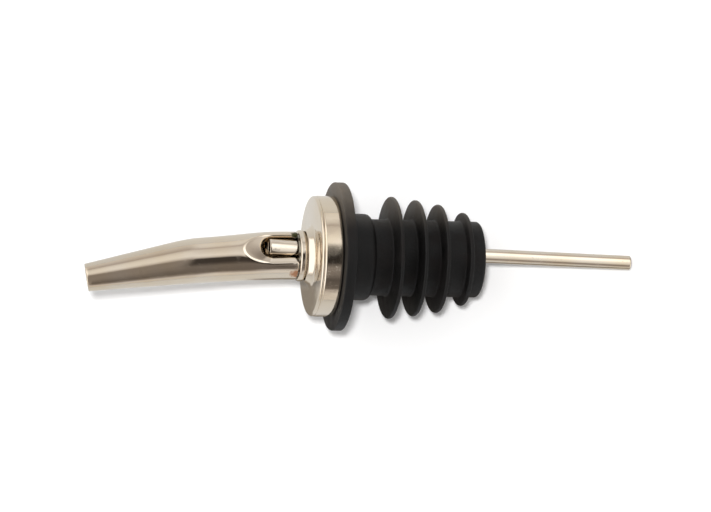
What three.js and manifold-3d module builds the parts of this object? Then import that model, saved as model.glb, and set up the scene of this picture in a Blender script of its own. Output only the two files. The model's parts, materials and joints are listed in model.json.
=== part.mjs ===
// A liquor pour spout: a bent, tapered metal spout with its vent tube and cap, on a finned rubber stopper.
// Millimetres, +Z up along the stopper towards the spout. The origin is the middle of the flange's
// underside, where the lip of the bottle meets it. The spout bends towards -X and the vent's mouth faces
// the other way, towards -Y and +X.

import * as THREE from 'three';
import { mergeVertices } from 'three/addons/utils/BufferGeometryUtils.js';
import Module from 'manifold-3d';

const wasm = await Module();
wasm.setup();

// Driving dimensions
const CLEARANCE = 0.3; // between neighbouring pieces
const SOLDER_GAP = 0.12; // between solder and the metal that it joins
const STEM_FIT = 0.1; // all round between the stem and the stopper's bore, so that it can turn

const FLANGE = { radius: 15.5, height: 2.1 };
const STEP = { radius: 9.05, depth: 5.5, edge: 0.8 }; // the plug's thick shoulder, below the flange
const BODY = { radius: 8, depth: 29.1, edge: 0.6 };
const FINS = [
  { radius: 12.8, depth: 10.2 },
  { radius: 12.2, depth: 15.4 },
  { radius: 11.4, depth: 20.3 },
  { radius: 9.8, depth: 25.7 },
];
const FIN_ROOT = 1.5;
const FIN_RIM = 0.8;

const STEM = { radius: 4.9, wall: 0.4, depth: 27.5 };
const COLLAR = { radius: 5.35, bottom: 8.35, top: 9.65 }; // the stem's beaded mouth

const CAP = { radius: 12.6, sheet: 0.45, bottom: 2.3, face: 6.7, edge: 1.2 };
const CAP_FILLET = 1.2; // the solder under the cap
const BOSS = { radius: 5.65, top: 8.1, foot: 7.4 };

// The spout's heights are distances along its centreline. Its foot stands in the stem's mouth and flares
// at the shoulder, over the wall's thickness; the tube narrows a little, then tapers to the tip.
const SPOUT = {
  radius: 5,
  wall: 0.45,
  footRadius: STEM.radius - STEM.wall - CLEARANCE,
  foot: 5.5,
  shoulder: 9.95,
  narrowing: [14, 27],
  narrowRadius: 4.75,
  taper: 31.5,
  tip: 53.55,
  tipRadius: 2.87,
};
const BENDS = [
  { start: 10, length: 9, angle: THREE.MathUtils.degToRad(5.9) },
  { start: 29.5, length: 5, angle: THREE.MathUtils.degToRad(5.4) },
];
const BEND_TURN = THREE.MathUtils.degToRad(-24.6); // the bends' plane, turned about Z from the XZ plane

const VENT = {
  radius: 1.5,
  wall: 0.4,
  mouth: new THREE.Vector3(2, -2.15, 15.9),
  end: new THREE.Vector3(0.05, 0.33, -62.8),
};

// The dent that the vent tube's mouth lies in is pressed along one direction by a round-ended punch. The
// sheet around it is drawn in too, and rises gently to the tube's surface.
const DENT = {
  angle: THREE.MathUtils.degToRad(-70), // the direction it is pressed from, from +X
  floor: 0.85, // the floor's height from the tube's axis
  footFloor: 0.5,
  shift: -0.75, // the punch's middle, sideways from the dent's direction
  nose: 1.3, // the punch's flat half-width
  side: 2.6, // its full half-width
  depth: 2.6,
  draw: 0.42,
  lip: 0.4,
  roundEnd: 15, // where the punch's round end starts
  reach: 22, // where the last of the drawn sheet ends
};

const ROUND_SEGMENTS = 48;
const SPOUT_SEGMENTS = 56;
const TUBE_SEGMENTS = 24;
const DENT_STEP = 0.65; // between rings of points along the spout
const SPOUT_STEP = 2.6;

const Y_AXIS = new THREE.Vector3(0, 1, 0);
const Z_AXIS = new THREE.Vector3(0, 0, 1);

// Geometry helpers

/** A closed outline through [radius, height, rounding] corners, for revolving about the Z axis. */
function outline(corners, divisions = 3) {
  const points = corners.map(([radius, height]) => new THREE.Vector2(radius, height));
  const path = new THREE.Path();
  corners.forEach(([, , rounding = 0], i) => {
    const corner = points[i];
    const before = points.at(i - 1);
    const after = points[(i + 1) % points.length];
    const enter = corner.clone().add(before.clone().sub(corner).setLength(rounding));
    const leave = corner.clone().add(after.clone().sub(corner).setLength(rounding));
    if (i === 0) path.moveTo(enter.x, enter.y);
    else path.lineTo(enter.x, enter.y);
    if (rounding > 0) path.quadraticCurveTo(corner.x, corner.y, leave.x, leave.y);
  });
  path.closePath();
  return path.getPoints(divisions);
}

function revolve(profile, segments = ROUND_SEGMENTS) {
  return new THREE.LatheGeometry(profile, segments).rotateX(Math.PI / 2);
}

/** A round tube along Z between two heights. */
function tube(radius, wall, bottom, top, segments = TUBE_SEGMENTS) {
  const corners = [[radius - wall, bottom], [radius, bottom], [radius, top], [radius - wall, top]];
  return revolve(outline(corners), segments);
}

function rod(radius, bottom, top, segments = TUBE_SEGMENTS) {
  const corners = [[0, bottom], [radius, bottom], [radius, top], [0, top]];
  return revolve(outline(corners), segments);
}

/** Moves every point of a geometry by a function that changes it in place. */
function reshape(geometry, move) {
  const position = geometry.attributes.position;
  const point = new THREE.Vector3();
  for (let i = 0; i < position.count; i++) {
    point.fromBufferAttribute(position, i);
    move(point);
    position.setXYZ(i, point.x, point.y, point.z);
  }
  return geometry;
}

function toManifold(geometry) {
  const bare = geometry.clone();
  bare.deleteAttribute('normal');
  bare.deleteAttribute('uv');
  const merged = mergeVertices(bare);
  const mesh = new wasm.Mesh({
    numProp: 3,
    vertProperties: new Float32Array(merged.attributes.position.array),
    triVerts: new Uint32Array(merged.index.array),
  });
  return new wasm.Manifold(mesh);
}

function fromManifold(solid) {
  const { vertProperties, triVerts } = solid.getMesh();
  const geometry = new THREE.BufferGeometry();
  geometry.setAttribute('position', new THREE.BufferAttribute(vertProperties, 3));
  geometry.setIndex(new THREE.BufferAttribute(triVerts, 1));
  geometry.computeVertexNormals();
  return geometry;
}

/** Turns a geometry that stands at the origin along +Z to run from one point to another. */
function alongLine(geometry, from, to) {
  const turn = new THREE.Quaternion().setFromUnitVectors(Z_AXIS, to.clone().sub(from).normalize());
  return geometry.applyQuaternion(turn).translate(from.x, from.y, from.z);
}

// The rubber stopper

function stopper() {
  const bore = STEM.radius + STEM_FIT;
  const corners = [
    [bore, -BODY.depth, 0.3],
    [BODY.radius, -BODY.depth, BODY.edge],
  ];
  for (const fin of [...FINS].reverse()) {
    corners.push(
      [BODY.radius, -fin.depth - FIN_ROOT / 2, 0.15],
      [fin.radius, -fin.depth - FIN_RIM / 2, 0.3],
      [fin.radius, -fin.depth + FIN_RIM / 2, 0.3],
      [BODY.radius, -fin.depth + FIN_ROOT / 2, 0.15],
    );
  }
  corners.push(
    [BODY.radius, -STEP.depth],
    [STEP.radius, -STEP.depth, STEP.edge],
    [STEP.radius, 0],
    [FLANGE.radius, 0, 0.3],
    [FLANGE.radius, FLANGE.height, 0.3],
    [bore, FLANGE.height, 0.3],
  );
  return revolve(outline(corners, 1));
}

// The metal head

function stemTube() {
  const bore = STEM.radius - STEM.wall;
  const bead = (COLLAR.top - COLLAR.bottom) / 2;
  return revolve(outline([
    [bore, -STEM.depth],
    [STEM.radius, -STEM.depth],
    [STEM.radius, COLLAR.bottom],
    [COLLAR.radius, COLLAR.bottom, bead / 2],
    [COLLAR.radius, COLLAR.top, bead / 2],
    [bore, COLLAR.top],
  ]));
}

function capShell() {
  const hole = STEM.radius + CLEARANCE;
  const inside = CAP.face - CAP.sheet;
  return revolve(outline([
    [hole, BOSS.foot - 2 * CAP.sheet],
    [BOSS.radius + 0.6, inside, 0.5],
    [CAP.radius - CAP.sheet, inside, CAP.edge - CAP.sheet],
    [CAP.radius - CAP.sheet, CAP.bottom],
    [CAP.radius, CAP.bottom],
    [CAP.radius, CAP.face, CAP.edge],
    [BOSS.radius + 0.9, CAP.face, 0.6],
    [BOSS.radius, BOSS.foot, 0.3],
    [BOSS.radius, BOSS.top, 0.2],
    [hole, BOSS.top],
  ]));
}

/** The solder that holds the cap to the stem, a fillet in the corner under the cap's face. */
function capSolder() {
  const inner = STEM.radius + SOLDER_GAP;
  const top = CAP.face - CAP.sheet - SOLDER_GAP;
  return revolve(outline([[inner, top - CAP_FILLET], [inner + CAP_FILLET, top], [inner, top]]));
}

/** The ring of solder between the spout's shoulder and the collar. */
function neckSolder() {
  const inner = STEM.radius - STEM.wall;
  const bottom = COLLAR.top + SOLDER_GAP;
  return revolve(outline([
    [inner, bottom],
    [SPOUT.radius, bottom],
    [SPOUT.radius, SPOUT.shoulder + SPOUT.wall - 2 * SOLDER_GAP],
    [inner, SPOUT.shoulder - SOLDER_GAP / 2],
  ]));
}

/** The spout's outer radius at a distance along it. */
function spoutRadius(along) {
  const { lerp, clamp, smoothstep } = THREE.MathUtils;
  const { radius, footRadius, shoulder, wall, taper, tip } = SPOUT;
  if (along < shoulder + wall) {
    return lerp(footRadius, radius, clamp((along - shoulder) / wall, 0, 1));
  }
  const straight = lerp(radius, SPOUT.narrowRadius, smoothstep(along, ...SPOUT.narrowing));
  return lerp(straight, SPOUT.tipRadius, clamp((along - taper) / (tip - taper), 0, 1));
}

/** Presses a point of the straight tube into the vent's dent, by its depth below the tube's outside. */
function pressDent(point, depth) {
  const { smoothstep } = THREE.MathUtils;
  const [cos, sin] = [Math.cos(DENT.angle), Math.sin(DENT.angle)];
  const height = point.x * cos + point.y * sin;
  const side = point.x * sin - point.y * cos - DENT.shift;
  const beyond = Math.max(0, point.z - DENT.roundEnd);
  const away = Math.max(0, Math.hypot(side, beyond) - depth);
  const floor = (point.z < SPOUT.shoulder ? DENT.footFloor : DENT.floor) - depth;
  const wall = DENT.depth * smoothstep(away, DENT.nose, DENT.side);
  const drawn = DENT.draw * Math.max(0, away - DENT.side);
  const excess = height - floor - wall - drawn;
  const push = (excess + Math.hypot(excess, DENT.lip)) / 2;
  point.x -= push * cos;
  point.y -= push * sin;
}

/** The centreline's place in the bends' plane and its turn, at a distance along the spout. */
function centreline(along) {
  const place = new THREE.Vector2(0, SPOUT.foot);
  const middle = new THREE.Vector2();
  let turn = 0;
  let reached = SPOUT.foot;
  const advance = (sideways, forward) => {
    place.add(new THREE.Vector2(sideways, forward).rotateAround(middle, -turn));
  };
  for (const { start, length, angle } of BENDS) {
    if (along <= start) break;
    advance(0, start - reached);
    const turned = angle * Math.min(1, (along - start) / length);
    const radius = length / angle;
    advance(radius * (1 - Math.cos(turned)), radius * Math.sin(turned));
    turn += turned;
    reached = Math.min(along, start + length);
  }
  advance(0, along - reached);
  return { place, turn };
}

/** Carries a point of a straight tube onto the spout's bent centreline. */
function followSpout(point) {
  const { place, turn } = centreline(point.z);
  point.setZ(0).applyAxisAngle(Z_AXIS, -BEND_TURN).applyAxisAngle(Y_AXIS, -turn);
  point.x -= place.x;
  point.z += place.y;
  point.applyAxisAngle(Z_AXIS, BEND_TURN);
}

/** Distances along the spout at which its wall gets a ring of points: close together in the dent. */
function spoutStations() {
  const { foot, shoulder, wall, tip } = SPOUT;
  const stations = [foot, shoulder, shoulder + wall];
  for (let z = shoulder + 2 * wall; z < DENT.reach; z += DENT_STEP) stations.push(z);
  for (let z = DENT.reach; z < tip - SPOUT_STEP / 2; z += SPOUT_STEP) stations.push(z);
  stations.push(tip);
  return stations;
}

/** The bent, tapered spout, revolved as a straight tube, then dented and bent. */
function spoutTube() {
  const stations = spoutStations();
  const outside = stations.map((z) => new THREE.Vector2(spoutRadius(z), z));
  const inside = stations.map((z) => {
    return new THREE.Vector2(spoutRadius(z - SPOUT.wall) - SPOUT.wall, z);
  });
  const tubeWall = revolve([...outside, ...inside.reverse(), outside[0]], SPOUT_SEGMENTS);
  return reshape(tubeWall, (point) => {
    pressDent(point, spoutRadius(point.z) - Math.hypot(point.x, point.y));
    followSpout(point);
  });
}

function ventTube() {
  const length = VENT.mouth.distanceTo(VENT.end);
  return alongLine(tube(VENT.radius, VENT.wall, 0, length), VENT.end, VENT.mouth);
}

/** The solder plug that closes the dent around the vent tube, inside the stem's mouth. */
function ventSolder() {
  const bore = STEM.radius - STEM.wall;
  const bottom = SPOUT.foot + CLEARANCE;
  const plug = toManifold(rod(bore - SOLDER_GAP, bottom, COLLAR.top, ROUND_SEGMENTS));
  const foot = reshape(
    rod(COLLAR.radius, SPOUT.foot, SPOUT.shoulder, 2 * ROUND_SEGMENTS),
    (point) => pressDent(point, -CLEARANCE),
  );
  const length = VENT.mouth.distanceTo(VENT.end);
  const vent = alongLine(rod(VENT.radius + SOLDER_GAP, 0, length), VENT.end, VENT.mouth);
  return fromManifold(plug.subtract(toManifold(foot)).subtract(toManifold(vent)));
}

// Materials and assembly

function material(color, roughness, metalness) {
  return new THREE.MeshStandardMaterial({ color, roughness, metalness });
}

const group = new THREE.Group();

function add(name, geometry, look) {
  const mesh = new THREE.Mesh(geometry, look);
  mesh.name = name;
  group.add(mesh);
}

add('stopper', stopper(), material(0x1c1a1a, 0.75, 0));
add('stem_tube', stemTube(), material(0xcfc7ba, 0.2, 1));
add('cap_shell', capShell(), material(0xd6cec2, 0.15, 1));
add('cap_solder', capSolder(), material(0x8f8f8c, 0.5, 1));
add('neck_solder', neckSolder(), material(0x77736a, 0.55, 1));
add('spout_tube', spoutTube(), material(0xd8d0c4, 0.15, 1));
add('vent_tube', ventTube(), material(0xd2cabd, 0.2, 1));
add('vent_solder', ventSolder(), material(0x8a877f, 0.5, 1));

export default group;
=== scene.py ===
# %% [markdown]
# # A liquor pour spout
# A pour spout plugs the neck of a bottle and lets a bartender pour a steady stream. Liquor runs up
# through the stem and out of the bent spout, and air goes the other way, down the thin vent tube, so
# that the stream doesn't gulp. The metal head is drawn and pressed from thin brass, soldered together
# and then plated with nickel. The stopper is one moulding in black rubber.
#
# The frame already says where every piece goes and how big it is. This file gives each piece its real
# surface: thin walls, rolled edges, solder, worn plating and dusty rubber.

# %% Load the frame
import json
import math

import bmesh
import bpy
from mathutils import Matrix, Vector, noise


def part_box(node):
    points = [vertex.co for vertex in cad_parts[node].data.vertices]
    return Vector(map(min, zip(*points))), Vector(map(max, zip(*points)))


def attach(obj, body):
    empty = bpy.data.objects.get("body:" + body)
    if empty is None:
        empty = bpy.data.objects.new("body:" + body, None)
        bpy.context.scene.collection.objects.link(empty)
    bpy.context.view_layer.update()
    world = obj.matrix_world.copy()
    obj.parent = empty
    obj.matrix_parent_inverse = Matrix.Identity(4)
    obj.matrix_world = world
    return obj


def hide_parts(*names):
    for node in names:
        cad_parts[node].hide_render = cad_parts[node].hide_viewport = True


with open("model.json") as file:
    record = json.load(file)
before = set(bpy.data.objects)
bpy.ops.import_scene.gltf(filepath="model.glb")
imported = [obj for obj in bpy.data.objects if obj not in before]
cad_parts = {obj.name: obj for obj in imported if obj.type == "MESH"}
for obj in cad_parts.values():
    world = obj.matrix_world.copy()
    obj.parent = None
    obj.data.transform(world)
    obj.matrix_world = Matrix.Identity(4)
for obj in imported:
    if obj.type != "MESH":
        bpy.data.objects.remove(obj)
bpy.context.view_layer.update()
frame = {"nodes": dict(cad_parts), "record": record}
record = frame["record"]

# %% [markdown]
# ## Measuring the frame
# Shapes are written in millimetres, because that is how a turner thinks of them, and each piece is
# scaled to metres once, when it is finished. The heights and radii come from the frame's own boxes, so
# a piece fits its place without being moved.

# %% Measuring helpers
MM = 0.001


def bottom(node):
    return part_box(node)[0].z / MM


def top(node):
    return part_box(node)[1].z / MM


def radius(node):
    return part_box(node)[1].x / MM


def end_centre(node, upper):
    """The middle of a straight tube's upper or lower end, in millimetres."""
    heights = top(node) if upper else bottom(node)
    near = 0.3
    points = [v.co / MM for v in frame["nodes"][node].data.vertices]
    ring = [p for p in points if abs(p.z - heights) < near]
    return sum(ring, Vector()) / len(ring)


print("stopper:", round(bottom("stopper"), 2), "to", round(top("stopper"), 2), "mm")
print("vent tube's mouth:", [round(c, 2) for c in end_centre("vent_tube", upper=True)])

# %% [markdown]
# ## Turning a blank into a piece
# Most of this object is round, so most pieces start as an outline that is spun about the Z axis, the way
# a lathe or a spinning chuck would make them. Each corner of the outline carries its own rounding,
# because a pressed sheet has soft corners where a cut one has sharp ones. Bevelling the outline's
# points before the spin costs far less than bevelling the solid's edges afterwards.

# %% Spinning an outline
SPIN_STEPS = 128


def revolve(corners, steps=SPIN_STEPS, segments=5):
    """Spins a closed outline of (radius, height, rounding) corners about the Z axis."""
    bm = bmesh.new()
    verts = [bm.verts.new((distance, 0, height)) for distance, height, _ in corners]
    for start, end in zip(verts, verts[1:] + verts[:1]):
        bm.edges.new((start, end))
    for vert, (_, _, rounding) in zip(verts, corners):
        if rounding:
            bmesh.ops.bevel(bm, geom=[vert], offset=rounding, offset_type="OFFSET",
                            segments=segments, profile=0.5, affect="VERTICES", material=-1)
    bmesh.ops.spin(bm, geom=bm.verts[:] + bm.edges[:], cent=(0, 0, 0), axis=(0, 0, 1),
                   dvec=(0, 0, 0), angle=math.tau, steps=steps, use_merge=True)
    bmesh.ops.remove_doubles(bm, verts=bm.verts, dist=1e-4)
    bmesh.ops.recalc_face_normals(bm, faces=bm.faces)
    return bm


# %% Finishing a piece
body_of_node = {node: body for body, nodes in record["behaviour"]["bodies"].items() for node in nodes}


def finish_piece(name, bm, node, material, sharp_degrees=40):
    """Makes the blank a piece in metres that stands for one CAD node and moves with its body."""
    bmesh.ops.scale(bm, vec=(MM, MM, MM), verts=bm.verts)
    mesh = bpy.data.meshes.new(name)
    bm.to_mesh(mesh)
    bm.free()
    mesh.shade_smooth()
    mesh.set_sharp_from_angle(angle=math.radians(sharp_degrees))
    mesh.materials.append(material)
    piece = bpy.data.objects.new(name, mesh)
    bpy.context.scene.collection.objects.link(piece)
    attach(piece, body_of_node[node])
    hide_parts(node)
    print(name, "for", node, "-", len(mesh.polygons), "faces")
    return piece


# %% [markdown]
# ## Building materials from nodes
# Every finish here is a small node tree. A helper adds a node, sets its options and wires or fills its
# inputs in one call, so that a finish reads from top to bottom like a recipe. Colours are given as
# they look on a screen and turned into the linear values that the shader works in.

# %% Node helpers
def add(tree, kind, inputs=None, **options):
    """Adds a node, sets its options, and links or fills its inputs."""
    node = tree.nodes.new("ShaderNode" + kind)
    for option, value in options.items():
        setattr(node, option, value)
    for socket, value in (inputs or {}).items():
        if isinstance(value, bpy.types.NodeSocket):
            tree.links.new(value, node.inputs[socket])
        else:
            node.inputs[socket].default_value = value
    return node


def colour(red, green, blue):
    """A screen colour, 0 to 255, as the linear colour that a shader takes."""
    def linear(value):
        value /= 255
        return value / 12.92 if value <= 0.04045 else ((value + 0.055) / 1.055) ** 2.4
    return (linear(red), linear(green), linear(blue), 1)


def math_node(tree, operation, first, second=0.0):
    return add(tree, "Math", {0: first, 1: second}, operation=operation).outputs[0]


def remap(tree, value, low, high, new_low=0.0, new_high=1.0):
    """Stretches values between low and high to a new range, and clamps the rest."""
    inputs = {"Value": value, "From Min": low, "From Max": high, "To Min": new_low, "To Max": new_high}
    return add(tree, "MapRange", inputs, interpolation_type="SMOOTHSTEP").outputs["Result"]


def grain(tree, place, size_mm, detail=3.0, roughness=0.5):
    """Noise whose blotches are about size_mm across."""
    inputs = {"Vector": place, "Scale": 1 / (size_mm * MM), "Detail": detail, "Roughness": roughness}
    return add(tree, "TexNoise", inputs).outputs["Fac"]


def blend_colours(tree, mask, below, above):
    node = add(tree, "Mix", {"Factor": mask}, data_type="RGBA")
    for socket, value in ((node.inputs[6], below), (node.inputs[7], above)):
        if isinstance(value, bpy.types.NodeSocket):
            tree.links.new(value, socket)
        else:
            socket.default_value = value
    return node.outputs[2]


def new_finish(name):
    """A material with its Principled shader, and the socket that gives a point's place on the piece."""
    material = bpy.data.materials.new(name)
    material.use_nodes = True
    tree = material.node_tree
    place = add(tree, "TexCoord").outputs["Object"]
    return material, tree, tree.nodes["Principled BSDF"], place


# %% [markdown]
# ## Handling wear
# Bright plating never stays perfect. Fingers leave soft smudges, cloths leave hair-thin scratches, and
# pressing leaves the sheet very slightly wavy, which is what makes its reflections wander. All the
# metal shares these, so they are one node group with three outputs, placed in each finish with its own
# strength.

# %% The wear group
def wear_group():
    group = bpy.data.node_groups.new("handling wear", "ShaderNodeTree")
    group.interface.new_socket("Place", in_out="INPUT", socket_type="NodeSocketVector")
    for output in ("Smudges", "Scratches", "Waves"):
        group.interface.new_socket(output, in_out="OUTPUT", socket_type="NodeSocketFloat")
    place = group.nodes.new("NodeGroupInput").outputs["Place"]
    smudges = remap(group, grain(group, place, 5, detail=4), 0.42, 0.68)
    hairs = []
    for turn, stretch in ((0.4, 18), (1.9, 26), (2.7, 14)):
        inputs = {"Vector": place, "Rotation": (turn, turn * 0.7, turn * 1.3), "Scale": (1, stretch, 1)}
        turned = add(group, "Mapping", inputs).outputs["Vector"]
        hairs.append(remap(group, grain(group, turned, 2.4, detail=2), 0.66, 0.69))
    scratches = math_node(group, "MAXIMUM", hairs[0], math_node(group, "MAXIMUM", hairs[1], hairs[2]))
    output = group.nodes.new("NodeGroupOutput")
    group.links.new(smudges, output.inputs["Smudges"])
    group.links.new(scratches, output.inputs["Scratches"])
    group.links.new(grain(group, place, 7, detail=1), output.inputs["Waves"])
    return group


wear = wear_group()
print("wear group outputs:", [socket.name for socket in wear.interface.items_tree])

# %% [markdown]
# ## Nickel plate
# Nickel is a warmer, greyer metal than chrome: it reflects a little less blue. The plating is bright on
# the pressed cap and the spout, and shows faint lengthwise lines where a tube was drawn through its
# die. Thin plating over pressed brass is also slightly pitted, which frays the edges of dark reflections.
# Heat and flux leave stains next to a soldered joint, so a finish can take a list of stained spots, each
# with a middle, a reach and a colour.

# %% Nickel finish
NICKEL = colour(222, 210, 193)
WARM_NICKEL = colour(219, 203, 179)
COPPER_BROWN = colour(176, 128, 96)
FLUX_GREEN = colour(62, 62, 34)
POLISHED, SMUDGED = 0.05, 0.13  # roughness of clean plating and of fingered plating
SCRATCHED = 0.12  # what a scratch adds to the roughness, and takes from the height
STAIN_ROUGHNESS = 0.5
STAIN_DULLING = 0.45  # how much less metallic a stain is
DRAWN_OUT = 0.015  # the drawing lines' scale along the tube, where a small number makes them long
WAVE_HEIGHT = 4.0
NICKEL_RELIEF = 0.02 * MM


def stain_mask(tree, place, middle_mm, reach_mm):
    """1 at the stain's middle and 0 beyond its reach, with a ragged edge."""
    middle = Vector(middle_mm) * MM
    away = add(tree, "VectorMath", {0: place, 1: middle}, operation="DISTANCE").outputs["Value"]
    ragged = math_node(tree, "MULTIPLY_ADD", grain(tree, place, 0.7), -1.1 * reach_mm * MM)
    ragged.node.inputs[2].default_value = 0.55 * reach_mm * MM
    return remap(tree, math_node(tree, "ADD", away, ragged), reach_mm * MM, 0.45 * reach_mm * MM)


def nickel(name, lines=0.0, pits=0.0, stains=()):
    """Bright nickel plate; lines and pits are how strongly they show, stains lists spots by a joint."""
    material, tree, shader, place = new_finish(name)
    marks = tree.nodes.new("ShaderNodeGroup")
    marks.node_tree = wear
    tree.links.new(place, marks.inputs["Place"])
    smudges = marks.outputs["Smudges"]
    scratches = marks.outputs["Scratches"]

    tint = remap(tree, grain(tree, place, 11, detail=2), 0.35, 0.75)
    surface = blend_colours(tree, tint, NICKEL, WARM_NICKEL)
    scratched = math_node(tree, "MULTIPLY", scratches, SCRATCHED)
    roughness = math_node(tree, "ADD", remap(tree, smudges, 0, 1, POLISHED, SMUDGED), scratched)
    metallic = 1.0
    for middle, reach, stain in stains:
        mask = stain_mask(tree, place, middle, reach)
        surface = blend_colours(tree, mask, surface, stain)
        rough_stain = math_node(tree, "MULTIPLY", mask, STAIN_ROUGHNESS)
        roughness = math_node(tree, "MAXIMUM", roughness, rough_stain)
        metallic = math_node(tree, "SUBTRACT", metallic, math_node(tree, "MULTIPLY", mask, STAIN_DULLING))

    stretched = add(tree, "Mapping", {"Vector": place, "Scale": (1, 1, DRAWN_OUT)}).outputs["Vector"]
    drawn = math_node(tree, "MULTIPLY", grain(tree, stretched, 0.35, detail=4), lines)
    waves = math_node(tree, "MULTIPLY", marks.outputs["Waves"], WAVE_HEIGHT)
    height = math_node(tree, "SUBTRACT", math_node(tree, "ADD", waves, drawn), scratched)
    pitted = math_node(tree, "MULTIPLY", grain(tree, place, 0.5, detail=2), pits)
    height = math_node(tree, "ADD", height, pitted)
    bump = add(tree, "Bump", {"Height": height, "Strength": 0.6, "Distance": NICKEL_RELIEF})
    tree.links.new(surface, shader.inputs["Base Color"])
    tree.links.new(roughness, shader.inputs["Roughness"])
    tree.links.new(bump.outputs["Normal"], shader.inputs["Normal"])
    if stains:
        tree.links.new(metallic, shader.inputs["Metallic"])
    else:
        shader.inputs["Metallic"].default_value = metallic
    return material


plated = nickel("nickel plate", pits=0.3)
drawn_tube = nickel("nickel plate on drawn tube", lines=0.5)

# %% [markdown]
# ## Solder and rubber
# Solder is soft, dull and grey, with brown flux left around it. The rubber is black, but it is never
# evenly black: handling leaves a brownish bloom on it, dust sits in its pores, and the mould's surface
# gives it a fine grain that scatters the light. The side that lies upwards is painted paler and browner,
# as painted light from above.

# %% Solder finish
SOLDER_GREY = colour(150, 146, 134)
FLUX_BROWN = colour(58, 44, 30)
RELIEF = 0.08 * MM  # the bump height of both finishes


def dull_solder(name):
    material, tree, shader, place = new_finish(name)
    flux = remap(tree, grain(tree, place, 1.2), 0.45, 0.62)
    surface = blend_colours(tree, flux, SOLDER_GREY, FLUX_BROWN)
    tree.links.new(surface, shader.inputs["Base Color"])
    tree.links.new(remap(tree, flux, 0, 1, 0.32, 0.7), shader.inputs["Roughness"])
    tree.links.new(remap(tree, flux, 0, 1, 0.95, 0.3), shader.inputs["Metallic"])
    bump = add(tree, "Bump", {"Height": grain(tree, place, 0.4), "Strength": 0.5, "Distance": RELIEF})
    tree.links.new(bump.outputs["Normal"], shader.inputs["Normal"])
    return material


solder = dull_solder("tin solder")


# %% Rubber finish
BLACK = colour(5, 5, 5)
BLOOM = colour(20, 17, 16)
PORE_DUST = colour(64, 57, 52)
# Painted light: the colour of the upper side, towards +X, as if lit from above
PAINTED_TOP_LIGHT = colour(112, 103, 92)
PAINTED_TOP_LIGHT_SPAN = (5, 16)  # mm from the axis towards +X, where the painted top light starts and where it is full


def black_rubber(name):
    material, tree, shader, place = new_finish(name)
    bloom = remap(tree, grain(tree, place, 6, detail=5, roughness=0.6), 0.4, 0.72)
    pores = grain(tree, place, 0.22, detail=3)
    dust = remap(tree, grain(tree, place, 0.5, detail=1), 0.74, 0.8)
    surface = blend_colours(tree, bloom, BLACK, BLOOM)
    surface = blend_colours(tree, math_node(tree, "MULTIPLY", dust, 0.35), surface, PORE_DUST)
    # Painted light: the side towards +X, upwards as the stopper lies, is painted paler and browner, as if
    # lit from above
    upwards = add(tree, "SeparateXYZ", {0: place}).outputs["X"]
    painted_top_light_mask = remap(tree, upwards, PAINTED_TOP_LIGHT_SPAN[0] * MM, PAINTED_TOP_LIGHT_SPAN[1] * MM)
    painted_top_light_mask = math_node(tree, "MULTIPLY", painted_top_light_mask, remap(tree, bloom, 0, 1, 0.7, 1))
    surface = blend_colours(tree, painted_top_light_mask, surface, PAINTED_TOP_LIGHT)
    tree.links.new(surface, shader.inputs["Base Color"])
    rough_pores = math_node(tree, "MULTIPLY", pores, 0.1)
    rough = math_node(tree, "ADD", remap(tree, bloom, 0, 1, 0.5, 0.68), rough_pores)
    tree.links.new(rough, shader.inputs["Roughness"])
    shader.inputs["Specular IOR Level"].default_value = 0.3
    shader.inputs["Sheen Weight"].default_value = 0.006
    shader.inputs["Sheen Roughness"].default_value = 0.35
    shader.inputs["Sheen Tint"].default_value = colour(255, 238, 224)
    height = math_node(tree, "ADD", pores, math_node(tree, "MULTIPLY", grain(tree, place, 3), 1.5))
    bump = add(tree, "Bump", {"Height": height, "Strength": 0.5, "Distance": RELIEF})
    tree.links.new(bump.outputs["Normal"], shader.inputs["Normal"])
    return material


rubber = black_rubber("moulded black rubber")

# %% [markdown]
# ## The rubber stopper
# The stopper is moulded in one piece: a flange that sits on the lip of the bottle, a thick shoulder, and
# a body with four fins that fold against the glass. The fins get smaller towards the end, so that the
# first one enters the neck easily. It could be made by adding rings to a cylinder, but one outline
# spun round gives every fin its soft root and thin rim at once. Soft rubber is never quite true, so a
# little slow noise moves the fins' rims out of round at the end.

# %% Stopper outline
FINS = ((12.8, 10.2), (12.2, 15.4), (11.4, 20.3), (9.8, 25.7))  # radius, depth below the flange
FIN_ROOT = 1.5
FIN_RIM = 0.8
BODY_RADIUS = 8.0
SHOULDER_RADIUS = 9.05
SHOULDER_DEPTH = 5.5
BORE_RADIUS = 5.0

plug_end = bottom("stopper")
flange_top = top("stopper")
flange_radius = radius("stopper")

outline = [(BORE_RADIUS, plug_end, 0.4), (BODY_RADIUS, plug_end, 0.6)]
for fin_radius, depth in reversed(FINS):
    outline += [
        (BODY_RADIUS, -depth - FIN_ROOT / 2, 0.35),
        (fin_radius, -depth - FIN_RIM / 2, 0.32),
        (fin_radius, -depth + FIN_RIM / 2, 0.32),
        (BODY_RADIUS, -depth + FIN_ROOT / 2, 0.35),
    ]
outline += [
    (BODY_RADIUS, -SHOULDER_DEPTH, 0.3),
    (SHOULDER_RADIUS, -SHOULDER_DEPTH, 1.1),
    (SHOULDER_RADIUS, 0, 0.4),
    (flange_radius, 0, 0.25),
    (flange_radius, flange_top, 0.25),
    (BORE_RADIUS, flange_top, 0.3),
]

# %% Stopper
OUT_OF_TRUE = 0.09  # mm, at the rims of the fins and the flange

blank = revolve(outline)
for vert in blank.verts:
    away = Vector((vert.co.x, vert.co.y, 0))
    softness = max(0.0, (away.length - BODY_RADIUS) / (flange_radius - BODY_RADIUS))
    wander = OUT_OF_TRUE * softness * noise.noise(vert.co * 0.12)
    vert.co += Vector((0, 0, wander)) - away.normalized() * abs(wander)
finish_piece("rubber_stopper", blank, "stopper", rubber)

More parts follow.
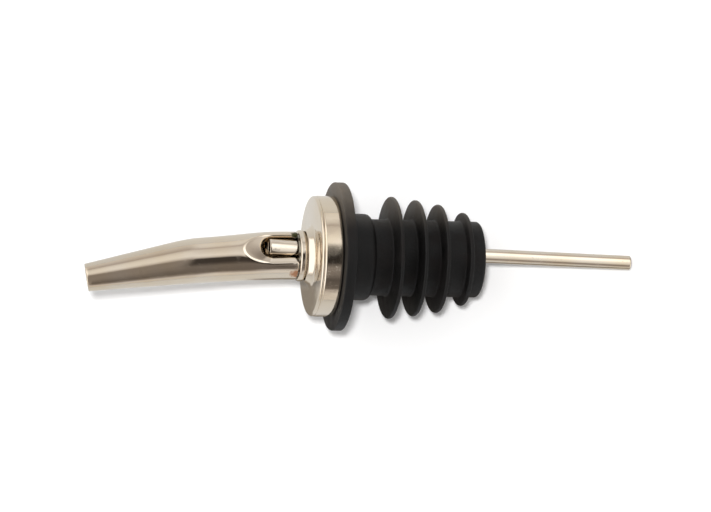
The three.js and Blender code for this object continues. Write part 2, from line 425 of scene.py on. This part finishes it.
# %% [markdown]
# ## The cap
# The cap is pressed from thin sheet: a flat face, a boss drawn up in its middle for the stem, a rounded
# edge and a skirt that hides the gap over the flange. A spun outline with both sides of the sheet gives
# it a real wall, so that the skirt shows its cut edge. A shallow groove runs where the press tool's
# rounded edge ends and the skirt begins.

# %% Cap
SHEET = 0.45
BOSS_RADIUS = 5.45
BOSS_FLARE = 0.85  # how much wider its foot is
BOSS_LIP = 0.2  # the boss's straight part, below its top
CREASE = 5.95  # the height of the press tool's groove

cap_radius = radius("cap_shell")
skirt_edge = bottom("cap_shell")
boss_top = top("cap_shell")
cap_face = 6.7
stem_hole = BOSS_RADIUS - SHEET + 0.1

blank = revolve([
    (stem_hole, boss_top, 0.1),
    (stem_hole, cap_face - SHEET, 0.6),
    (cap_radius - SHEET, cap_face - SHEET, 0.8),
    (cap_radius - SHEET, skirt_edge, 0.12),
    (cap_radius, skirt_edge, 0.15),
    (cap_radius, skirt_edge + 0.25, 0),  # keeps the wall's shading straight up to its rounded edges
    (cap_radius, CREASE - 0.35, 0),
    (cap_radius, CREASE - 0.2, 0.1),
    (cap_radius - 0.2, CREASE, 0.06),
    (cap_radius - 0.06, CREASE + 0.2, 0.06),
    (cap_radius - 0.06, cap_face, 0.5),
    (BOSS_RADIUS + BOSS_FLARE, cap_face, 0.5),
    (BOSS_RADIUS, boss_top - BOSS_LIP, 0.3),
    (BOSS_RADIUS - 0.05, boss_top, 0.15),
], segments=8)
finish_piece("pressed_cap", blank, "cap_shell", plated)

# %% [markdown]
# ## The stem and its collar
# The stem is a straight drawn tube that passes through the cap and the stopper. Its mouth is rolled
# into a beaded collar, which stops it in the cap's boss and takes the foot of the spout.

# %% Stem
STEM_RADIUS = 4.9
STEM_WALL = 0.4
collar_top = top("stem_tube")
collar_radius = radius("stem_tube")
collar_bottom = collar_top - 1.3

blank = revolve([
    (STEM_RADIUS - STEM_WALL, bottom("stem_tube"), 0.1),
    (STEM_RADIUS, bottom("stem_tube"), 0.1),
    (STEM_RADIUS, collar_bottom, 0.12),
    (collar_radius - 0.03, collar_bottom, 0.4),
    (collar_radius, (collar_bottom + collar_top) / 2, 0.3),
    (collar_radius - 0.05, collar_top, 0.35),
    (STEM_RADIUS - STEM_WALL, collar_top, 0.15),
], segments=6)
finish_piece("stem_and_collar", blank, "stem_tube", plated)

# %% [markdown]
# ## The spout
# The spout starts as a straight tube. Its upper end is tapered by swaging, its foot is narrowed to enter
# the collar, a punch presses in the dent for the vent tube, and the whole is bent twice, gently. The
# model follows the same order: a ring is extruded upwards and scaled at each step, the wall is pressed
# in where the dent goes, and then each ring is turned and moved onto the bent centreline. Solidify
# gives the sheet its thickness last, so that the dent shows on the inside too.

# %% Spout dimensions
SPOUT_RADIUS = 5.0
SPOUT_WALL = 0.45
SPOUT_LENGTH = 48.05  # along the bent centreline
RIM_ROUNDING = 0.09
FOOT_RADIUS = 4.2
SHOULDER_START, SHOULDER_END = 9.7, 9.95
NARROWING_START, NARROWING_END = 14.0, 27.0
TAPER_START = 31.5
TAPER_EASING = 2.0  # mm over which the taper sets in
TAPER_RADIUS = 4.75
TIP_RADIUS = 2.87
BEND_TURN = math.radians(-24.6)  # the plane of the bends, turned about Z from the XZ plane
SPOUT_BENDS = ((10.0, 9.0, math.radians(5.9)), (29.5, 5.0, math.radians(5.4)))  # start, length, angle

spout_foot = bottom("spout_tube")
spout_end = spout_foot + SPOUT_LENGTH


def smooth_share(value, start, end):
    share = min(1.0, max(0.0, (value - start) / (end - start)))
    return share * share * (3 - 2 * share)


def spout_radius(along):
    """The tube's outer radius at a distance along it."""
    foot = smooth_share(along, SHOULDER_START, SHOULDER_END)
    narrowing = smooth_share(along, NARROWING_START, NARROWING_END)
    straight = SPOUT_RADIUS + (TAPER_RADIUS - SPOUT_RADIUS) * narrowing
    past_start = along - TAPER_START
    eased = (past_start + math.hypot(past_start, TAPER_EASING)) / 2
    taper = eased / (spout_end - TAPER_START)
    full = straight + (TIP_RADIUS - straight) * taper
    return FOOT_RADIUS + (full - FOOT_RADIUS) * foot


# %% The vent's dent
DENT_ANGLE = math.radians(-70)  # the direction it is pressed from, seen from the tube's axis, from +X
DENT_FLOOR = 0.85  # the floor's height above the tube's axis
DENT_SHIFT = -0.75
DENT_END = 15.0  # where the punch's round end starts
DENT_INNER, DENT_OUTER = 1.3, 2.6  # the punch's flat nose and its full half-width
DENT_DEPTH = 2.6
DENT_DRAW = 0.42  # how fast the sheet around the dent rises, drawn in by the punch
DENT_LIP = 0.4


def dent_directions():
    """The direction out of the dent, and the one across it."""
    towards = Vector((math.cos(DENT_ANGLE), math.sin(DENT_ANGLE), 0))
    return towards, Vector((towards.y, -towards.x, 0))


def press_dent(vert):
    """Presses a point of the straight tube down to the dent's surface, with a soft lip around it."""
    towards, sideways = dent_directions()
    away = math.hypot(vert.co.dot(sideways) - DENT_SHIFT, max(0.0, vert.co.z - DENT_END))
    floor = DENT_FLOOR + DENT_DEPTH * smooth_share(away, DENT_INNER, DENT_OUTER)
    floor += DENT_DRAW * max(0.0, away - DENT_OUTER)
    excess = vert.co.dot(towards) - floor
    vert.co -= towards * (excess + math.hypot(excess, DENT_LIP)) / 2


# %% Extrude, press and bend the spout
RING_POINTS = 160
FINE_STEP, COARSE_STEP = 0.25, 0.8
FINE_UNTIL = 22


def ring_heights():
    """Distances along the spout for its rings: close in the dent, wider apart along the taper."""
    heights = [spout_foot]
    while heights[-1] < spout_end - 0.5:
        heights.append(heights[-1] + (FINE_STEP if heights[-1] < FINE_UNTIL else COARSE_STEP))
    heights[-1] = spout_end
    return heights


def turn_at(height):
    """How far the spout's bends have turned it at a distance along it."""
    return sum(angle * min(1.0, max(0.0, (height - start) / length))
               for start, length, angle in SPOUT_BENDS)


blank = bmesh.new()
heights = ring_heights()
first = bmesh.ops.create_circle(blank, cap_ends=False, radius=spout_radius(spout_foot),
                                segments=RING_POINTS)
bmesh.ops.translate(blank, vec=(0, 0, spout_foot), verts=first["verts"])
rings = [first["verts"]]
edges = blank.edges[:]
for lower, upper in zip(heights, heights[1:]):
    grown = bmesh.ops.extrude_edge_only(blank, edges=edges)["geom"]
    ring = [item for item in grown if isinstance(item, bmesh.types.BMVert)]
    edges = [item for item in grown if isinstance(item, bmesh.types.BMEdge)
             and all(vert in ring for vert in item.verts)]
    widening = spout_radius(upper) / spout_radius(lower)
    bmesh.ops.scale(blank, vec=(widening, widening, 1), verts=ring)
    bmesh.ops.translate(blank, vec=(0, 0, upper - lower), verts=ring)
    rings.append(ring)

for vert in blank.verts:
    press_dent(vert)

upright = Vector((0, 0, 1))
bend_side = Matrix.Rotation(BEND_TURN, 3, "Z") @ Vector((-1, 0, 0))
bend_axis = upright.cross(bend_side)
centre = upright * spout_foot
turned = 0.0
for i, (height, ring) in enumerate(zip(heights, rings)):
    turn = turn_at(height)
    if i:
        middle = Matrix.Rotation((turned + turn) / 2, 3, bend_axis)
        centre += (height - heights[i - 1]) * (middle @ upright)
    bmesh.ops.translate(blank, vec=(0, 0, -height), verts=ring)
    bmesh.ops.rotate(blank, cent=(0, 0, 0), matrix=Matrix.Rotation(turn, 3, bend_axis), verts=ring)
    bmesh.ops.translate(blank, vec=centre, verts=ring)
    turned = turn
print("spout tip at", [round(c, 2) for c in centre], "mm")
print("turned", round(math.degrees(turned), 1), "degrees")

# %% Give the spout its wall
bmesh.ops.recalc_face_normals(blank, faces=blank.faces)
bmesh.ops.solidify(blank, geom=blank.faces[:], thickness=SPOUT_WALL)
rims = [edge for edge in blank.edges if edge.is_manifold and edge.calc_face_angle() > math.radians(60)]
bmesh.ops.bevel(blank, geom=rims, offset=RIM_ROUNDING, offset_type="OFFSET", segments=3,
                profile=0.5, affect="EDGES", material=-1)
bmesh.ops.recalc_face_normals(blank, faces=blank.faces)
spout_metal = nickel("nickel plate on the spout", lines=0.25, stains=(
    ((-3.7, -3.2, 10.2), 1.6, COPPER_BROWN),
    ((4.5, -2.1, 10.2), 1.3, FLUX_GREEN),
))
finish_piece("bent_spout", blank, "spout_tube", spout_metal, sharp_degrees=55)

# %% [markdown]
# ## The vent tube
# A thin drawn tube, cut square at both ends. It is spun upright and then tilted onto the line between
# its two ends in the frame: the mouth lies in the spout's dent, the other end hangs in the bottle. The
# mouth is squeezed slightly oval, so that it fills the dent from wall to wall.

# %% Vent tube
VENT_RADIUS = 1.5
VENT_WALL = 0.35
SQUEEZED = (7.3, 6.1)  # where the tube goes from round to oval, in mm from its mouth
WIDENING, FLATTENING = 0.15, 0.1
SLIDE = 0.35  # mm, how far the squeezed end lies towards the dent's lower wall

mouth = end_centre("vent_tube", upper=True)
vent_end = end_centre("vent_tube", upper=False)
vent_length = (mouth - vent_end).length
squeeze_rings = [vent_length - SQUEEZED[0] + 0.15 * i for i in range(9)]
rings = [0.3, *squeeze_rings, vent_length - 0.3]  # the end ones keep the shading straight
blank = revolve([
    (VENT_RADIUS - VENT_WALL, 0, 0.07),
    (VENT_RADIUS, 0, 0.12),
    *((VENT_RADIUS, height, 0) for height in rings),
    (VENT_RADIUS, vent_length, 0.1),
    (VENT_RADIUS - VENT_WALL, vent_length, 0.07),
    *((VENT_RADIUS - VENT_WALL, height, 0) for height in reversed(rings)),
], steps=64, segments=3)
towards, sideways = dent_directions()
for vert in blank.verts:
    squeezed = smooth_share(vert.co.z, vent_length - SQUEEZED[0], vent_length - SQUEEZED[1])
    widened = WIDENING * vert.co.dot(sideways) + SLIDE
    vert.co += squeezed * (sideways * widened - towards * FLATTENING * vert.co.dot(towards))
lean = Vector((0, 0, 1)).rotation_difference(mouth - vent_end).to_matrix()
bmesh.ops.rotate(blank, cent=(0, 0, 0), matrix=lean, verts=blank.verts)
bmesh.ops.translate(blank, vec=vent_end, verts=blank.verts)
finish_piece("vent_pipe", blank, "vent_tube", drawn_tube)

# %% [markdown]
# ## Solder joints
# Three joints hold the head together. A ring of solder fills the step between the collar and the
# spout's shoulder. A plug closes the dent around the vent tube, so that liquor can't leak past it. A
# fillet under the cap holds the cap to the stem. Solder pulls itself into hollow curves, and its edge
# wanders, so each ring is spun and then disturbed a little.

# %% Solder rings
def wander(bm, amount, size_mm):
    """Moves every point a little along slow noise."""
    for vert in bm.verts:
        vert.co += amount * noise.noise_vector(vert.co / size_mm)


neck_low = bottom("neck_solder")
blank = revolve([
    (4.4, neck_low - 0.1, 0),
    (4.8, neck_low - 0.1, 0.08),
    (4.68, neck_low + 0.06, 0.05),
    (4.75, neck_low + 0.2, 0.03),
    (4.4, neck_low + 0.2, 0),
], segments=3)
wander(blank, 0.05, 0.9)
finish_piece("neck_solder_ring", blank, "neck_solder", solder)

cap_low, cap_high = bottom("cap_solder"), top("cap_solder")
blank = revolve([
    (STEM_RADIUS + 0.02, cap_low, 0.05),
    (STEM_RADIUS + 0.45, cap_high - 0.45, 0.3),
    (radius("cap_solder"), cap_high, 0.05),
    (STEM_RADIUS + 0.02, cap_high, 0),
], segments=4)
wander(blank, 0.08, 1.3)
finish_piece("cap_solder_fillet", blank, "cap_solder", solder)
frame["nodes"]["vent_solder"].data.materials.clear()
frame["nodes"]["vent_solder"].data.materials.append(solder)

# %% [markdown]
# ## The table, the light and the camera
# The pourer lies on a pale table: its flange and the end of its vent tube touch it, and the spout stands
# clear. The line through those two points gives the table's slope in the frame, and the camera looks
# straight down at the table. The card is seen from its front only, so that from behind it is clear.
#
# The paper is white in the picture, brighter than white in fact, so metal that mirrored it at its true
# brightness would burn out. It is therefore darker in a reflection. There it also has a painted shade
# under the object, where a window light would leave one, which makes the lower halves of the cap and the
# fins darker, and a painted shade that deepens along the spout.

# %% Table
PALE = colour(250, 250, 250)
PAPER_IN_METAL = (0.65, 0.665, 0.675, 1)  # the paper is overexposed, but its reflection in metal isn't
# The colour of the painted shade on the paper, seen only in the metal
SHADED_PAPER = (0.255, 0.233, 0.202, 1)
SHADE_STARTS, SHADE_ENDS = (-3, -8), (-18, -27)  # mm, down from the object's middle
SHADE_PAST_CAP = (17, 12)  # mm, along the object
PAINTED_SHADE_ALONG_SPOUT = (15, 55)  # mm, along the spout
FAR_PAINTED_SHADE = 0.12  # how much painted shade the paper has at the far end of that stretch
TABLE_SIZE = 0.4
TABLE_GAP = 0.0002
flange_rest = Vector((0, flange_radius, 0))
tube_rest = Vector((0, vent_end.y + VENT_RADIUS, vent_end.z))
along_table = (flange_rest - tube_rest).normalized()
up_from_table = Vector((1, 0, 0)).cross(along_table).normalized()
if up_from_table.y > 0:
    up_from_table.negate()
print("table leans", round(math.degrees(math.asin(up_from_table.z)), 1), "degrees")

blank = bmesh.new()
bmesh.ops.create_grid(blank, x_segments=1, y_segments=1, size=TABLE_SIZE)
facing = Vector((0, 0, 1)).rotation_difference(up_from_table).to_matrix()
bmesh.ops.rotate(blank, cent=(0, 0, 0), matrix=facing, verts=blank.verts)
bmesh.ops.translate(blank, vec=flange_rest * MM - up_from_table * TABLE_GAP, verts=blank.verts)
table_mesh = bpy.data.meshes.new("table")
blank.to_mesh(table_mesh)
blank.free()
table = bpy.data.objects.new("table", table_mesh)
bpy.context.scene.collection.objects.link(table)

paper, paper_tree, paper_shader, paper_place = new_finish("pale paper")
across = add(paper_tree, "SeparateXYZ", {0: paper_place}).outputs


def fade(axis, start, end, new_low=0.0, new_high=1.0):
    """Goes from new_low to new_high between two places on the paper, given in millimetres."""
    return remap(paper_tree, across[axis], start * MM, end * MM, new_low, new_high)


# Painted shade: as metal mirrors it, the paper is darker below the object by the cap and the fins
shade = math_node(paper_tree, "MULTIPLY", fade("X", *SHADE_STARTS), fade("X", *SHADE_ENDS, 1, 0))
shade = math_node(paper_tree, "MULTIPLY", shade, fade("Z", *SHADE_PAST_CAP))
mirrored = blend_colours(paper_tree, shade, PAPER_IN_METAL, SHADED_PAPER)
# Painted shade: in the metal, the paper grows a little darker further along the spout
mirrored = blend_colours(paper_tree, fade("Z", *PAINTED_SHADE_ALONG_SPOUT, 0, FAR_PAINTED_SHADE), mirrored, SHADED_PAPER)
direct_view = add(paper_tree, "LightPath").outputs["Is Camera Ray"]
tone = blend_colours(paper_tree, direct_view, mirrored, PALE)
paper_tree.links.new(tone, paper_shader.inputs["Base Color"])
paper_shader.inputs["Roughness"].default_value = 0.9
paper_shader.inputs["Specular IOR Level"].default_value = 0.1
clear = add(paper_tree, "BsdfTransparent").outputs[0]
behind = add(paper_tree, "NewGeometry").outputs["Backfacing"]
sides = add(paper_tree, "MixShader", {0: behind, 1: paper_shader.outputs[0], 2: clear})
paper_tree.links.new(sides.outputs[0], paper_tree.nodes["Material Output"].inputs["Surface"])
table_mesh.materials.append(paper)

# %% [markdown]
# Polished metal shows its surroundings more than itself, so the room matters as much as the lamps. Each
# point of a tube mirrors one direction around the tube's length, so a highlight that runs along it is a
# panel that runs along the room. Towards -X the room has a dark panel and then a pale one. Towards +X it
# has a bright panel, a narrow darker seam, and a pale one. Between the two sides is the dark gap where
# the photographer stands, which gives the spout its dark core line.
#
# The room's length is split into zones, because the tilted faces of the tip, the cap and the vent tube
# mirror other parts of it. The gap is widest and blackest at the cap, greyer at the tip, and gives way
# to a bright strip at the vent tube.

# %% Room
# Panels as (direction, brightness). Directions are degrees around the object's length, from the front
# towards +X, and the room blends between neighbours.
ROOM = (
    (-180, 0.7), (-78, 0.72), (-70, 0.32), (-60, 0.18), (-30, 0.2), (-18, 0.1), (-10, 0.06), (8, 0.06),
    (16, 0.8), (24, 1.0), (42, 0.85), (54, 0.78), (61, 0.55), (67, 0.82), (76, 0.92), (95, 0.86),
    (130, 0.6), (180, 0.7),
)
ROOM_AT_CAP = (
    (-180, 0.6), (-76, 0.85), (-68, 0.6), (-63, 0.18), (-45, 0.12), (-34, 0.24), (-22, 0.3), (-12, 0.04),
    (12, 0.01), (19, 0.05), (26, 1.15), (32, 1.05), (44, 0.84), (56, 0.74), (61, 0.55), (67, 0.82),
    (76, 0.98), (95, 0.9), (130, 0.6), (180, 0.7),
)
ROOM_AT_TIP = (
    (-180, 0.6), (-90, 0.72), (-75, 0.66), (-66, 0.36), (-40, 0.31), (8, 0.3), (16, 0.68), (26, 0.98),
    (44, 0.94), (56, 0.8), (63, 0.52), (72, 0.6), (86, 0.74), (110, 0.76), (135, 0.55), (180, 0.6),
)
ROOM_AT_TUBE = (
    (-180, 0.8), (-104, 0.9), (-78, 0.72), (-62, 0.36), (-48, 0.3), (-36, 0.7), (-20, 1.0), (4, 1.25),
    (16, 1.7), (44, 1.9), (54, 1.2), (64, 0.62), (88, 0.74), (130, 0.85), (180, 1.0),
)
ROOM_BEYOND_TUBE = (
    (-180, 0.9), (-110, 1.2), (-60, 1.5), (-30, 0.95), (0, 0.85), (40, 0.75), (70, 0.35), (100, 0.15),
    (140, 0.4), (180, 0.9),
)

# Each zone's panels, with the share of a direction along +Z where the zone starts and where it is full.
ZONES = (
    ((0.0, 0.15), ROOM_AT_TIP),
    ((-0.15, -0.19), ROOM_AT_CAP),
    ((-0.225, -0.245), ROOM_AT_TUBE),
    ((-0.37, -0.45), ROOM_BEYOND_TUBE),
)
END_PANEL = (0.38, 0.6)  # the same for a bright panel past the tip
END_PANEL_FACES = (-0.1, 0.05)  # it hangs in front only: the share of a direction towards the front
END_PANEL_BRIGHTNESS = 1.7
DARK_PANEL_GREEN, DARK_PANEL_BLUE = 0.86, 0.78  # dark panels are brownish, pale ones white
BACKDROP_BRIGHTNESS = 1.1
ROOM_ON_PAPER = 0.53  # how much of the room's light falls on what isn't polished


def panel_ramp(tree, share, panels):
    node = add(tree, "ValToRGB", {0: share})
    ramp = node.color_ramp
    while len(ramp.elements) < len(panels):
        ramp.elements.new(0.5)
    for element, (degrees, level) in zip(ramp.elements, panels):
        element.position = (degrees + 180) / 360
        pale = min(1.0, level)
        green = DARK_PANEL_GREEN + (1 - DARK_PANEL_GREEN) * pale
        blue = DARK_PANEL_BLUE + (1 - DARK_PANEL_BLUE) * pale
        element.color = (level, level * green, level * blue, 1)
    return node.outputs["Color"]


def light_room():
    world = bpy.data.worlds.new("studio")
    bpy.context.scene.world = world
    world.use_nodes = True
    tree = world.node_tree
    tree.nodes.clear()
    direction = add(tree, "TexCoord").outputs["Generated"]
    parts = add(tree, "SeparateXYZ", {0: direction}).outputs
    front = math_node(tree, "MULTIPLY", parts["Y"], -1.0)
    around = math_node(tree, "ARCTAN2", parts["X"], front)
    share = math_node(tree, "MULTIPLY_ADD", around, 1 / math.tau)
    share.node.inputs[2].default_value = 0.5
    seen = panel_ramp(tree, share, ROOM)
    for limits, panels in ZONES:
        zone = remap(tree, parts["Z"], *limits)
        seen = blend_colours(tree, zone, seen, panel_ramp(tree, share, panels))
    in_front = remap(tree, parts["Z"], *END_PANEL)
    in_front = math_node(tree, "MULTIPLY", in_front, remap(tree, front, *END_PANEL_FACES))
    seen = blend_colours(tree, in_front, seen, (*[END_PANEL_BRIGHTNESS] * 3, 1))
    matte = add(tree, "LightPath").outputs["Is Diffuse Ray"]
    strength = remap(tree, matte, 0, 1, 1, ROOM_ON_PAPER)
    room = add(tree, "Background", {"Color": seen, "Strength": strength}).outputs[0]
    backdrop = add(tree, "Background", {"Color": PALE, "Strength": BACKDROP_BRIGHTNESS}).outputs[0]
    camera_ray = add(tree, "LightPath").outputs["Is Camera Ray"]
    both = add(tree, "MixShader", {0: camera_ray, 1: room, 2: backdrop}).outputs[0]
    add(tree, "OutputWorld", {"Surface": both})


light_room()

# %% [markdown]
# Two lamps light the paper and the rubber. A weak, broad one stands low, up and to the left. The stronger
# one is a small lamp beside the camera, which leaves the thin shadow along the lower edges. Metal doesn't
# mirror the lamps, because the room already gives it its highlights.

# %% Lamps
def soft_lamp(name, towards, distance, size, power):
    """A square lamp that shines at the stopper from a direction, which is (up, out, along) in view."""
    data = bpy.data.lights.new(name, "AREA")
    data.size = size
    data.energy = power
    lamp = bpy.data.objects.new(name, data)
    bpy.context.scene.collection.objects.link(lamp)
    up, out, along = towards
    way = (Vector((1, 0, 0)) * up + up_from_table * out + along_table * along).normalized()
    lamp.location = way * distance
    lamp.rotation_euler = (-way).to_track_quat("-Z", "Y").to_euler()
    lamp.visible_glossy = False


soft_lamp("window", (1.0, 0.4, 0.7), distance=0.8, size=0.3, power=1.0)
soft_lamp("camera lamp", (0.07, 1.0, 0.03), distance=0.6, size=0.045, power=2.45)

# %% Camera
FOCAL_LENGTH = 142.0
DISTANCE = 0.586
TILT = math.radians(1.3)  # the object's length lies this much off level in the view
AIM = Vector((0.0002, 0, -0.0029))

camera_data = bpy.data.cameras.new("camera")
camera_data.lens = FOCAL_LENGTH
camera_data.sensor_width = 36.0
camera_data.clip_start = 0.01
camera = bpy.data.objects.new("camera", camera_data)
bpy.context.scene.collection.objects.link(camera)
right = Matrix.Rotation(TILT, 3, up_from_table) @ -along_table
upward = up_from_table.cross(right)
turn = Matrix((right, upward, up_from_table)).transposed()
camera.matrix_world = Matrix.Translation(AIM + up_from_table * DISTANCE) @ turn.to_4x4()
bpy.context.scene.camera = camera
bpy.context.scene.view_settings.view_transform = "Standard"
